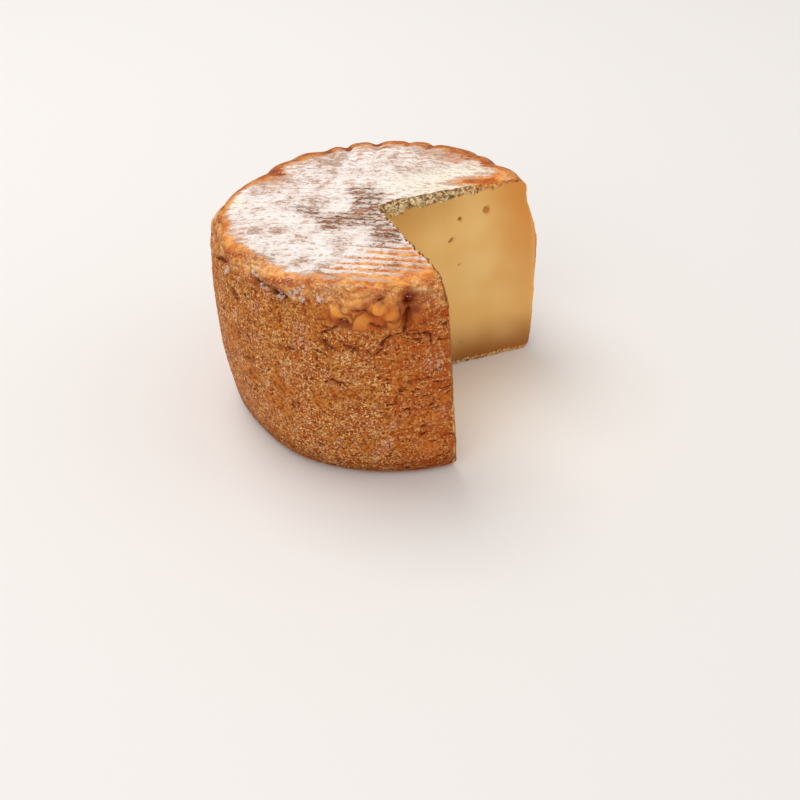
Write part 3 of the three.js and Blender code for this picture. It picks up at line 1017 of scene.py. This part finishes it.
    def underside(self, colour):
        """Bloomed patches on the flat base."""
        pattern, colours = self.pattern, self.colours
        base_share = pattern.step(self.place.z, 0.9, 0.3)
        under = pattern.mix(pattern.step(self.patchy, 0.42, 0.62), colours.rim_deep, colours.bloom_thin)
        return pattern.mix(base_share, colour, under)

    def relief(self):
        """Height of the fine bumps, in millimetres."""
        grain = self.grain * 0.35 + self.fine * 0.3 + self.flakes * 0.16
        bumps = grain * (0.25 + self.rough_share * 0.75)
        fluff = self.strand * 0.3 + self.fine * 0.15
        return bumps * (1 - self.top_share) + fluff * self.top_share


def rind_material(sizes, colours):
    """Grainy orange-brown smoked rind with a white mould bloom on the ridged top."""
    material, pattern = new_material("smoked_rind")
    rind = Rind(pattern, sizes, colours)
    side = rind.grainy_side()
    for layer in (rind.amber_lumps, rind.bare_rim, rind.worn_side):
        side = layer(side)
    upper = rind.bloomed_top()
    colour = rind.underside(pattern.mix(rind.top_share, side, upper))

    bloomed = rind.top_share * rind.thin
    dull = 0.52 + rind.tan_share * 0.12 - rind.amber * 0.14 - rind.shoulder * 0.06 + bloomed * 0.3
    surface = shade_surface(pattern, colour, dull, rind.relief(), shine=0.08)
    waxy_front = rind.shoulder * pattern.step(rind.place.view_y, -20, -45)
    glaze = pattern.clamp(rind.amber * 0.4 + waxy_front * 0.6) * (1 - bloomed)
    pattern.tree.links.new(glaze.end, surface.inputs["Coat Weight"])
    surface.inputs["Coat Roughness"].default_value = 0.24
    surface.inputs["Coat IOR"].default_value = 1.4
    return material


def shade_surface(pattern, colour, dull, relief, shine, subsurface=0.0):
    """Feeds the surface shader of a new material, with bumps in millimetres, and gives its node."""
    bump = pattern.node("ShaderNodeBump", None, {"Strength": 1.0, "Distance": MM, "Height": relief})
    surface = pattern.tree.nodes["Principled BSDF"]
    for name, value in (("Base Color", colour), ("Roughness", dull), ("Normal", bump)):
        pattern.tree.links.new(value.end, surface.inputs[name])
    surface.inputs["Specular IOR Level"].default_value = shine
    surface.inputs["Subsurface Weight"].default_value = subsurface
    surface.inputs["Subsurface Radius"].default_value = (1.0, 0.55, 0.3)
    surface.inputs["Subsurface Scale"].default_value = 2.5 * MM
    return surface


def paste_material(sizes, colours):
    """Pale firm paste of the cut faces, amber towards the rind, under a ragged crust."""
    material, pattern = new_material("cut_paste")
    position = pattern.node("ShaderNodeTexCoord", None, None, 3)
    place = Place(pattern, from_axis(pattern, position), sizes)
    top = sizes.height / MM
    cloudy = pattern.noise(place.spot, 16, 1.0)
    fine = pattern.noise(place.spot, 1.2, 3.0, 0.6)
    edge = sizes.top_radius / MM + 0.2 + (1 - abs(place.z / (top / 2) - 1) ** 2) * 0.9
    side_depth = edge - place.radius - 1.4 * pattern.step(place.z, top - 25, top - 8)
    top_depth = top - place.z

    # Paste: amber near the rind, partly smoke and partly painted warm reflected light; olive painted shade
    # under the crust; painted ochre shade low down; with a pale and a dark line outside
    colour = pattern.mix(pattern.step(cloudy, 0.3, 0.7), colours.paste, colours.paste_light)
    # Amber near the rind: partly smoke, partly painted warm reflected light, stronger higher up
    raised = pattern.step(place.z, 8, 68)
    smoke_and_reflection = pattern.step(side_depth + (cloudy - 0.5) * 6, 27, 3) * (0.35 + raised * 0.65)
    colour = pattern.mix(smoke_and_reflection * 0.85, colour, colours.paste_amber)
    # Painted shade under the crust
    under_crust_shade = pattern.step(top_depth + (cloudy - 0.5) * 5, 20, 3) * pattern.step(place.radius, 50, 14)
    colour = pattern.mix(under_crust_shade * 0.7, colour, colours.paste_crust_shade)
    pale = pattern.step(side_depth + (fine - 0.5) * 0.9, 3.2, 1.2)
    colour = pattern.mix(pale * 0.35, colour, colours.paste_edge)
    # Painted shade low down on the cut faces
    low = pattern.step(place.z + (cloudy - 0.5) * 6, 22, 1)
    colour = pattern.mix(low * 0.95, colour, colours.paste_low_shade)
    rind_line = pattern.step(side_depth + (fine - 0.5) * 0.8, 0.8, 0.25)
    colour = pattern.mix(rind_line * 0.9, colour, colours.rim_deep)

    # Painted shade inside the eyes of each face, crust along the top and the base, and small pale dots
    from_tip = pattern.vector("SUBTRACT", position, tuple(tip_point(sizes)))
    spot = pattern.vector("SCALE", from_tip, scale=1 / MM)
    reach = pattern.vector("LENGTH", pattern.vector("MULTIPLY", spot, (1, 1, 0)))
    for azimuth, eyes in ((sizes.far_cut, FAR_EYES), (sizes.near_cut_top, NEAR_EYES)):
        this_face = pattern.step(abs(place.arc_gap(azimuth)), 20, 10)
        hollow = pattern.step(eye_hollow(pattern, reach, place.z, eyes), 0.0, 0.5)
        colour = pattern.mix(hollow * this_face * 0.65, colour, colours.paste_eye_shade)
    crust = crust_share(pattern, reach, place.z, pattern.noise(spot, 3.4, 3.0, 0.6), sizes)
    crumbs = pattern.noise(place.spot, 1.3, 3.0, 0.65)
    # Crumbs of the crust: cream, and olive brown that is partly painted shade between them
    inner = pattern.mix(pattern.step(crumbs, 0.42, 0.56), colours.crust_olive, colours.crust_cream)
    outer = pattern.mix(pattern.step(crumbs, 0.4, 0.6), colours.rim_deep, colours.paste_edge)
    crust_colour = pattern.mix(pattern.step(place.radius, 30, 44), inner, outer)
    dirt = pattern.step(pattern.noise(spot, 1.9, 2.0), 0.56, 0.64)
    crust_colour = pattern.mix(dirt * 0.8, crust_colour, colours.speck)
    colour = pattern.mix(crust, colour, crust_colour)
    base_crust = base_crust_share(pattern, spot, place.z)
    colour = pattern.mix(base_crust * 0.9, colour, crust_colour)
    dots = pattern.step(pattern.cells(place.spot, 3.4), 0.08, 0.04)
    colour = pattern.mix(dots * 0.3, colour, colours.paste_light)

    dull = 0.4 + crust * 0.4 + (fine - 0.5) * 0.1
    level = pattern.combine(place.radius / 12, place.x + place.y, place.z / 1.1)
    drag = pattern.noise(level, 1.3, 2.0)
    relief = fine * 0.05 + drag * 0.05 + crust * crumbs * 0.6
    shade_surface(pattern, colour, dull, relief, shine=0.3, subsurface=0.2)
    return material


def crumb_material(name, light, deep, speck):
    """Dry crumbs, mottled between two colours with darker specks."""
    material, pattern = new_material(name)
    position = pattern.node("ShaderNodeTexCoord", None, None, 3)
    spot = pattern.vector("SCALE", position, scale=1 / MM)
    lumps = pattern.noise(spot, 1.6, 2.0, 0.6)
    fine = pattern.noise(spot, 0.5, 2.0, 0.6)
    colour = pattern.mix(pattern.step(lumps, 0.32, 0.52), deep, light)
    colour = pattern.mix(pattern.step(fine, 0.6, 0.7) * 0.6, colour, speck)
    shade_surface(pattern, colour, 0.75 + lumps * 0.2, fine * 0.15, shine=0.2)
    return material


def crumb_heap(name, spots, seed):
    """Rough little lumps at (x, y, z, size) spots in metres, joined in one mesh."""
    mesh = bpy.data.meshes.new(name)
    mesh.from_pydata([spot[:3] for spot in spots], [], [])
    size = mesh.attributes.new("size", "FLOAT", "POINT")
    size.data.foreach_set("value", [spot[3] for spot in spots])
    heap = bpy.data.objects.new(name, mesh)
    bpy.context.collection.objects.link(heap)

    group, pattern, start, end = geometry_group(name)
    lump = pattern.node("GeometryNodeMeshIcoSphere", None, {"Radius": 1.0, "Subdivisions": 2})

    def random_vector(low, high, seed):
        return pattern.node(
            "FunctionNodeRandomValue", {"data_type": "FLOAT_VECTOR"}, {0: low, 1: high, "Seed": seed}
        )

    turned = random_vector((0, 0, 0), (6.3, 6.3, 6.3), seed)
    shape = random_vector((0.6, 0.6, 0.5), (1.4, 1.1, 1.0), seed + 1)
    size = pattern.node("GeometryNodeInputNamedAttribute", {"data_type": "FLOAT"}, {"Name": "size"})
    scaled = pattern.vector("SCALE", shape, scale=size)
    inputs = {"Points": start, "Instance": lump, "Rotation": turned, "Scale": scaled}
    placed = pattern.node("GeometryNodeInstanceOnPoints", None, inputs)
    real = pattern.node("GeometryNodeRealizeInstances", None, {"Geometry": placed})
    position = pattern.node("GeometryNodeInputPosition")
    rough = pattern.noise_vector(pattern.vector("SCALE", position, scale=1 / MM), 0.9, 0.42 * MM)
    shaped = pattern.node("GeometryNodeSetPosition", None, {"Geometry": real, "Offset": rough})
    smooth = pattern.node("GeometryNodeSetShadeSmooth", None, {"Geometry": shaped})
    group.links.new(smooth.end, end.inputs[0])
    apply_group(heap, group)
    return heap


def on_cut(sizes, azimuth, distance, height, proud):
    """A point on a cut face, standing proud of it into the cut."""
    tip = tip_point(sizes)
    middle_of_cut = math.radians(-45)
    side = 1 if math.sin(middle_of_cut - azimuth) > 0 else -1
    out = Vector((-math.sin(azimuth) * side, math.cos(azimuth) * side, 0))
    ahead = Vector((math.cos(azimuth), math.sin(azimuth), 0))
    return tip + ahead * distance + out * proud + Vector((0, 0, height))


def length(name, description, default):
    """A length in metres that a user may change."""
    return FloatProperty(name=name, description=description, default=default, unit="LENGTH")


def number(name, description, default):
    """A plain number that a user may change."""
    return FloatProperty(name=name, description=description, default=default)


def count(name, description, default):
    """A whole number that a user may change."""
    return IntProperty(name=name, description=description, default=default)


def colour_property(name, description, *value):
    """A colour that a user may change, given as it looks on screen."""
    return FloatVectorProperty(
        name=name, description=description, subtype="COLOR", size=3, min=0, max=1, default=tone(*value)
    )


class SizesOfCheese(bpy.types.PropertyGroup):
    """Driving sizes of the wheel, its rim, top, cut and crumbs."""

    height: length("Height", "Height of the wheel", 0.0775)
    top_radius: length("Top radius", "Radius under the rim", 0.063)
    belly_radius: length("Belly radius", "Radius half way up", 0.0641)
    base_radius: length("Base radius", "Radius at the base", 0.0617)
    shoulder_round: length("Shoulder round", "Rounding under the top", 0.0094)
    base_round: length("Base round", "Rounding at the base", 0.0038)
    back_swell: length("Back swell", "How far the back swells", 0.002)
    rim_swell: length("Rim swell", "Further swell of the rim", 0.0022)
    rim_inset: length("Rim inset", "How far the rim draws in", 0.0012)
    rim_depth: length("Rim depth", "Reach of the scallops below the top", 0.028)
    rim_full_depth: length("Full rim depth", "Depth to which the scallops are full", 0.009)
    base_rise: length("Base rise", "Reach of the base's dents above the floor", 0.036)
    swell_azimuth: number("Swell azimuth", "Middle of the swell, degrees", 64.5)
    swell_half_width: number("Swell half width", "Half width of the swell, degrees", 45)
    ridge_spacing: length("Ridge spacing", "Spacing of the mat's ridges", 0.0041)
    ridge_height: length("Ridge height", "Height of the ridges", 0.0009)
    ridge_slope: number("Ridge slope", "Slope of the ridges across the view", 0.23)
    ridge_fan: number("Ridge fan", "Fanning of the ridges, per millimetre", 0.0018)
    cut_tip: FloatVectorProperty(
        name="Cut tip",
        description="Where the two cuts meet, from the axis",
        size=2,
        default=(-0.0008, -0.0019),
        unit="LENGTH",
    )
    far_cut: number("Far cut", "Azimuth of the far cut, degrees", -1.75)
    near_cut_top: number("Near cut, top", "Azimuth of the near cut at the top, degrees", -88.7)
    near_cut_base: number("Near cut, base", "Azimuth of the near cut at the base, degrees", -87.1)
    face_size: length("Face size", "Size of the rind's faces", 0.0008)
    cut_face_size: length("Cut face size", "Size of the cut's faces", 0.0007)
    round_sides: count("Round sides", "Sides of the wheel before it is made even", 160)
    crust_clusters: count("Crust clusters", "Clusters of crumbs along the top of each cut", 34)
    cluster_crumbs: count("Crumbs in a cluster", "Crumbs of crust in each cluster", 6)
    base_crumbs: count("Base crumbs", "Crumbs along the base of each cut", 60)
    mould_crumbs: count("Mould crumbs", "Crumbs of mould at each spot under the rim", 5)
    seed: count("Seed", "Seed of the scattered crumbs", 7)


class ColoursOfCheese(bpy.types.PropertyGroup):
    """Colours of rind, bloom, paste and crust."""

    rind_brown: colour_property("Rind brown", "Deeper grains of the side", 150, 70, 12)
    rind_tan: colour_property("Rind tan", "Lighter grains of the side", 206, 124, 50)
    # Also the colour of the painted highlights on the grain
    rind_fleck: colour_property("Rind fleck", "Palest flakes of the side", 255, 208, 140)
    # Also the colour of the painted shade in the pores and at the foot
    rind_dark: colour_property("Rind dark", "Pores and base of the side", 92, 30, 4)
    rind_red: colour_property("Rind red", "Reddish patches", 172, 72, 16)
    rind_orange: colour_property("Rind orange", "Smoother orange side by the near cut", 206, 104, 30)
    rind_haze: colour_property("Rind haze", "Pinkish mould haze", 222, 172, 146)
    amber: colour_property("Amber", "Smooth lumps under the rim", 244, 158, 66)
    # Colour of the painted shade between the lumps
    amber_hollow_shade: colour_property("Deep amber", "Hollows between the lumps", 204, 102, 32)
    stain: colour_property("Stain", "Dark red stain round the pit", 130, 48, 10)
    # Also the colour of the painted shade in the cracks
    crack: colour_property("Crack", "Depth of the cracks", 88, 26, 6)
    rim: colour_property("Rim", "Bare rim", 252, 176, 92)
    rim_deep: colour_property("Deep rim", "Hollows of the rim", 214, 116, 42)
    # Also the colour of the painted shade in the rim's creases and scallop hollows
    rim_dark: colour_property("Dark rim", "Creases and notches of the rim", 140, 52, 12)
    # Colour of the painted highlights of the rim
    rim_highlight: colour_property("Light rim", "Highlights of the rim", 255, 222, 166)
    bloom_white: colour_property("White bloom", "Thick mould bloom", 250, 243, 238)
    bloom_cream: colour_property("Cream bloom", "Thick bloom by the far cut", 250, 243, 222)
    bloom_thin: colour_property("Thin bloom", "Thin pinkish mould bloom", 214, 178, 156)
    bloom_dusky: colour_property("Dusky bloom", "Dull streaks in the bloom", 170, 130, 104)
    bloom_grey: colour_property("Grey bloom", "Dark mould patches", 122, 90, 70)
    mould: colour_property("Mould", "Mould in the creases of the side", 220, 198, 188)
    ember: colour_property("Ember", "Brown orange spots in the bloom", 176, 100, 52)
    speck: colour_property("Speck", "Brown specks", 104, 62, 32)
    paste: colour_property("Paste", "Paste of the cut", 244, 198, 118)
    paste_light: colour_property("Light paste", "Cloudy lighter paste", 248, 208, 132)
    # Also the colour of the painted warm reflected light near the rind
    paste_amber: colour_property("Amber paste", "Smoked paste near the rind", 222, 142, 46)
    # Colour of the painted shade under the crust
    paste_crust_shade: colour_property("Olive paste", "Paste under the crust", 206, 152, 74)
    paste_edge: colour_property("Paste edge", "Pale band inside the rind", 244, 196, 118)
    # Colour of the painted shade low on the cut faces
    paste_low_shade: colour_property("Low paste", "Ochre paste near the base", 160, 94, 26)
    # Colour of the painted shade inside the eyes
    paste_eye_shade: colour_property("Eye hollow", "Depth of the eyes", 190, 120, 40)
    crust_cream: colour_property("Crust cream", "Cream crumbs of the crust", 238, 216, 170)
    # Partly the colour of the painted shade between the crust's crumbs
    crust_olive: colour_property("Crust olive", "Olive brown crumbs of the crust", 150, 104, 50)


def settings():
    """The sizes and the colours that the scene holds."""
    scene = bpy.context.scene
    return scene.cheese_sizes, scene.cheese_colours


class CHEESE_OT_camera(bpy.types.Operator):
    """Adds the camera at the photograph's viewing angle"""

    bl_idname = "cheese.camera"
    bl_label = "Camera"

    # Place from the wheel's axis in metres, for a view from the front, then pitch and roll in degrees
    place = Vector((0.00428, -0.36905, 0.25647))
    pitch = 36.05
    roll = -3.06
    lens = 49.5

    def execute(self, context):
        bpy.ops.object.select_all(action="DESELECT")
        bpy.ops.object.camera_add()
        camera = bpy.context.object
        turn = Matrix.Rotation(math.radians(VIEW_TURN), 4, "Z")
        tilt = Matrix.Rotation(math.radians(90 - self.pitch), 4, "X")
        roll = Matrix.Rotation(math.radians(self.roll), 4, "Z")
        camera.matrix_world = Matrix.Translation(AXIS + turn @ self.place) @ turn @ tilt @ roll
        camera.data.lens = self.lens
        camera.data.sensor_width = 36
        camera.data.clip_start = 0.01
        context.scene.camera = camera
        return {"FINISHED"}


class CHEESE_OT_wheel(bpy.types.Operator):
    """Models the wheel whole and cuts the quarter out of it"""

    bl_idname = "cheese.wheel"
    bl_label = "Wheel"

    def execute(self, context):
        sizes, colours = settings()
        wheel = whole_wheel(sizes)
        apply_group(wheel, wheel_relief(sizes))
        block = cutter(sizes)
        apply_group(block, cut_relief(sizes))
        rind = rind_material(sizes, colours)
        paste = paste_material(sizes, colours)
        for material in (rind, paste):
            block.data.materials.append(material)
        for face in block.data.polygons:
            face.material_index = 1
        finish_piece(wheel, "rind", rind, paste)
        cut = wheel.modifiers.new("cut", "BOOLEAN")
        cut.operation = "DIFFERENCE"
        cut.solver = "MANIFOLD"
        cut.object = block
        activate(wheel)
        bpy.ops.object.modifier_apply(modifier=cut.name)
        bpy.data.objects.remove(block, do_unlink=True)
        activate(wheel)
        bpy.ops.object.shade_smooth_by_angle(angle=math.radians(50))
        return {"FINISHED"}


class CHEESE_OT_crust_crumbs(bpy.types.Operator):
    """Scatters crumbs of crust along the top and bottom edges of both cuts"""

    bl_idname = "cheese.crust_crumbs"
    bl_label = "Crust crumbs"

    def execute(self, context):
        sizes, colours = settings()
        draw = random.Random(sizes.seed)
        far, near_top, near_base = cut_azimuths(sizes)
        spots = []

        # Along the top: thick and coarse by the tip, thin and fine at the rim, broken back on the far cut
        for azimuth, broken in ((far, 1.8), (near_top, 0.3)):
            for _ in range(sizes.crust_clusters):
                middle = 1 + (CRUMB_REACH - 1) * draw.random() ** 1.35
                thick = 3.8 - 2.9 * middle / CRUMB_REACH
                largest = 1.2 - 0.8 * middle / CRUMB_REACH
                for _ in range(sizes.cluster_crumbs):
                    distance = abs(middle + draw.gauss(0, 1.3)) * MM
                    depth = 1.2 + thick * draw.random() ** 1.4
                    height = sizes.height - depth * MM
                    size = draw.uniform(0.25, largest) * MM
                    proud = draw.uniform(-0.5, 0.25) - broken * max(0, 1 - depth / 3.6)
                    spots.append((*on_cut(sizes, azimuth, distance, height, proud * MM), size))

        # Along the base: a thin line of fine crumbs
        for azimuth in (far, near_base):
            for _ in range(sizes.base_crumbs):
                distance = draw.uniform(2, 59) * MM
                height = draw.uniform(0.6, 1.6) * MM
                size = draw.uniform(0.2, 0.5) * MM
                proud = draw.uniform(-0.2, 0.4) * MM
                spots.append((*on_cut(sizes, azimuth, distance, height, proud), size))

        crumbs = crumb_heap("crust_crumbs", spots, sizes.seed)
        # Crumbs mottled cream and olive, the olive partly painted shade
        material = crumb_material("crust", colours.crust_cream, colours.crust_olive, colours.speck)
        finish_piece(crumbs, "rind", material)
        return {"FINISHED"}


class CHEESE_OT_mould_crumbs(bpy.types.Operator):
    """Puts crumbs of white mould in the creases of the side"""

    bl_idname = "cheese.mould_crumbs"
    bl_label = "Mould crumbs"

    def execute(self, context):
        sizes, colours = settings()
        draw = random.Random(sizes.seed + 1)
        wheel = bpy.data.objects[WHEEL]
        spots = []
        for azimuth, height, size in MOULD_SPOTS:
            for _ in range(sizes.mould_crumbs):
                turn = math.radians(azimuth + draw.gauss(0, 0.7 * size))
                level = (height + draw.gauss(0, 0.6 * size)) * MM
                outward = Vector((math.cos(turn), math.sin(turn), 0))
                outside = AXIS + outward * 0.1 + Vector((0, 0, level))
                hit, spot, _, _ = wheel.ray_cast(outside, -outward)
                if not hit:
                    raise RuntimeError("a mould crumb found no rind")
                sunk = spot - outward * 0.15 * MM
                spots.append((*sunk, draw.uniform(0.25, 0.6) * size * MM))
        crumbs = crumb_heap("mould_crumbs", spots, sizes.seed + 2)
        material = crumb_material("mould", colours.mould, colours.bloom_thin, colours.bloom_grey)
        finish_piece(crumbs, "bloom", material)
        return {"FINISHED"}


class CHEESE_OT_stage(bpy.types.Operator):
    """Adds the pale floor, the soft lights and the bright surroundings"""

    bl_idname = "cheese.stage"
    bl_label = "Stage"

    # The floor's width and how far it lies below the cheese, in metres
    floor_width = 12
    floor_drop = 0.0002

    # Name, place and size in metres, and power of each lamp
    lamps = (
        ("key", (-0.25, 0.65, 1.3), 1.0, 9.0),
        ("fill", (-0.9, -0.9, 1.0), 1.2, 3.5),
        ("side", (1.1, -0.5, 0.9), 1.0, 1.5),
    )

    def execute(self, context):
        bpy.ops.object.select_all(action="DESELECT")
        bpy.ops.mesh.primitive_plane_add(size=self.floor_width, location=(0, 0, -self.floor_drop))
        floor = bpy.context.object
        floor.name = "floor"
        pale = bpy.data.materials.new("pale_floor")
        pale.use_nodes = True
        surface = pale.node_tree.nodes["Principled BSDF"]
        surface.inputs["Base Color"].default_value = (0.86, 0.84, 0.82, 1)
        surface.inputs["Roughness"].default_value = 0.6
        floor.data.materials.append(pale)
        for name, spot, size, power in self.lamps:
            bpy.ops.object.light_add(type="AREA", location=spot)
            lamp = bpy.context.object
            lamp.name = name
            lamp.data.shape = "DISK"
            lamp.data.size = size
            lamp.data.energy = power
            lamp.data.color = (1.0, 0.985, 0.965)
            aim = Vector((0, 0, 0.04)) - Vector(spot)
            lamp.rotation_euler = aim.to_track_quat("-Z", "Y").to_euler()
        world = bpy.data.worlds.new("bright_room")
        world.use_nodes = True
        sky = world.node_tree.nodes["Background"]
        sky.inputs["Color"].default_value = (0.97, 0.945, 0.925, 1)
        sky.inputs["Strength"].default_value = 0.65
        context.scene.world = world
        context.scene.view_settings.view_transform = "Standard"
        return {"FINISHED"}


class CHEESE_PT_panel(bpy.types.Panel):
    """Lists the pieces of the cheese in the sidebar"""

    bl_idname = "CHEESE_PT_panel"
    bl_label = "Smoked cheese wheel"
    bl_space_type = "VIEW_3D"
    bl_region_type = "UI"
    bl_category = "Cheese"

    def draw(self, context):
        for operator in OPERATORS:
            self.layout.operator(operator.bl_idname)


OPERATORS = (
    CHEESE_OT_camera,
    CHEESE_OT_wheel,
    CHEESE_OT_crust_crumbs,
    CHEESE_OT_mould_crumbs,
    CHEESE_OT_stage,
)
CLASSES = (SizesOfCheese, ColoursOfCheese, *OPERATORS, CHEESE_PT_panel)


def register():
    """Adds the classes and their settings to Blender."""
    for cls in CLASSES:
        bpy.utils.register_class(cls)
    bpy.types.Scene.cheese_sizes = PointerProperty(type=SizesOfCheese)
    bpy.types.Scene.cheese_colours = PointerProperty(type=ColoursOfCheese)


def unregister():
    """Takes the settings and the classes out again."""
    del bpy.types.Scene.cheese_colours
    del bpy.types.Scene.cheese_sizes
    for cls in reversed(CLASSES):
        bpy.utils.unregister_class(cls)


def main():
    """Builds the cheese and its stage."""
    register()
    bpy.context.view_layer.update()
    bpy.ops.cheese.camera()
    bpy.ops.cheese.wheel()
    bpy.ops.cheese.crust_crumbs()
    bpy.ops.cheese.mould_crumbs()
    bpy.ops.cheese.stage()


if __name__ == "__main__":
    main()
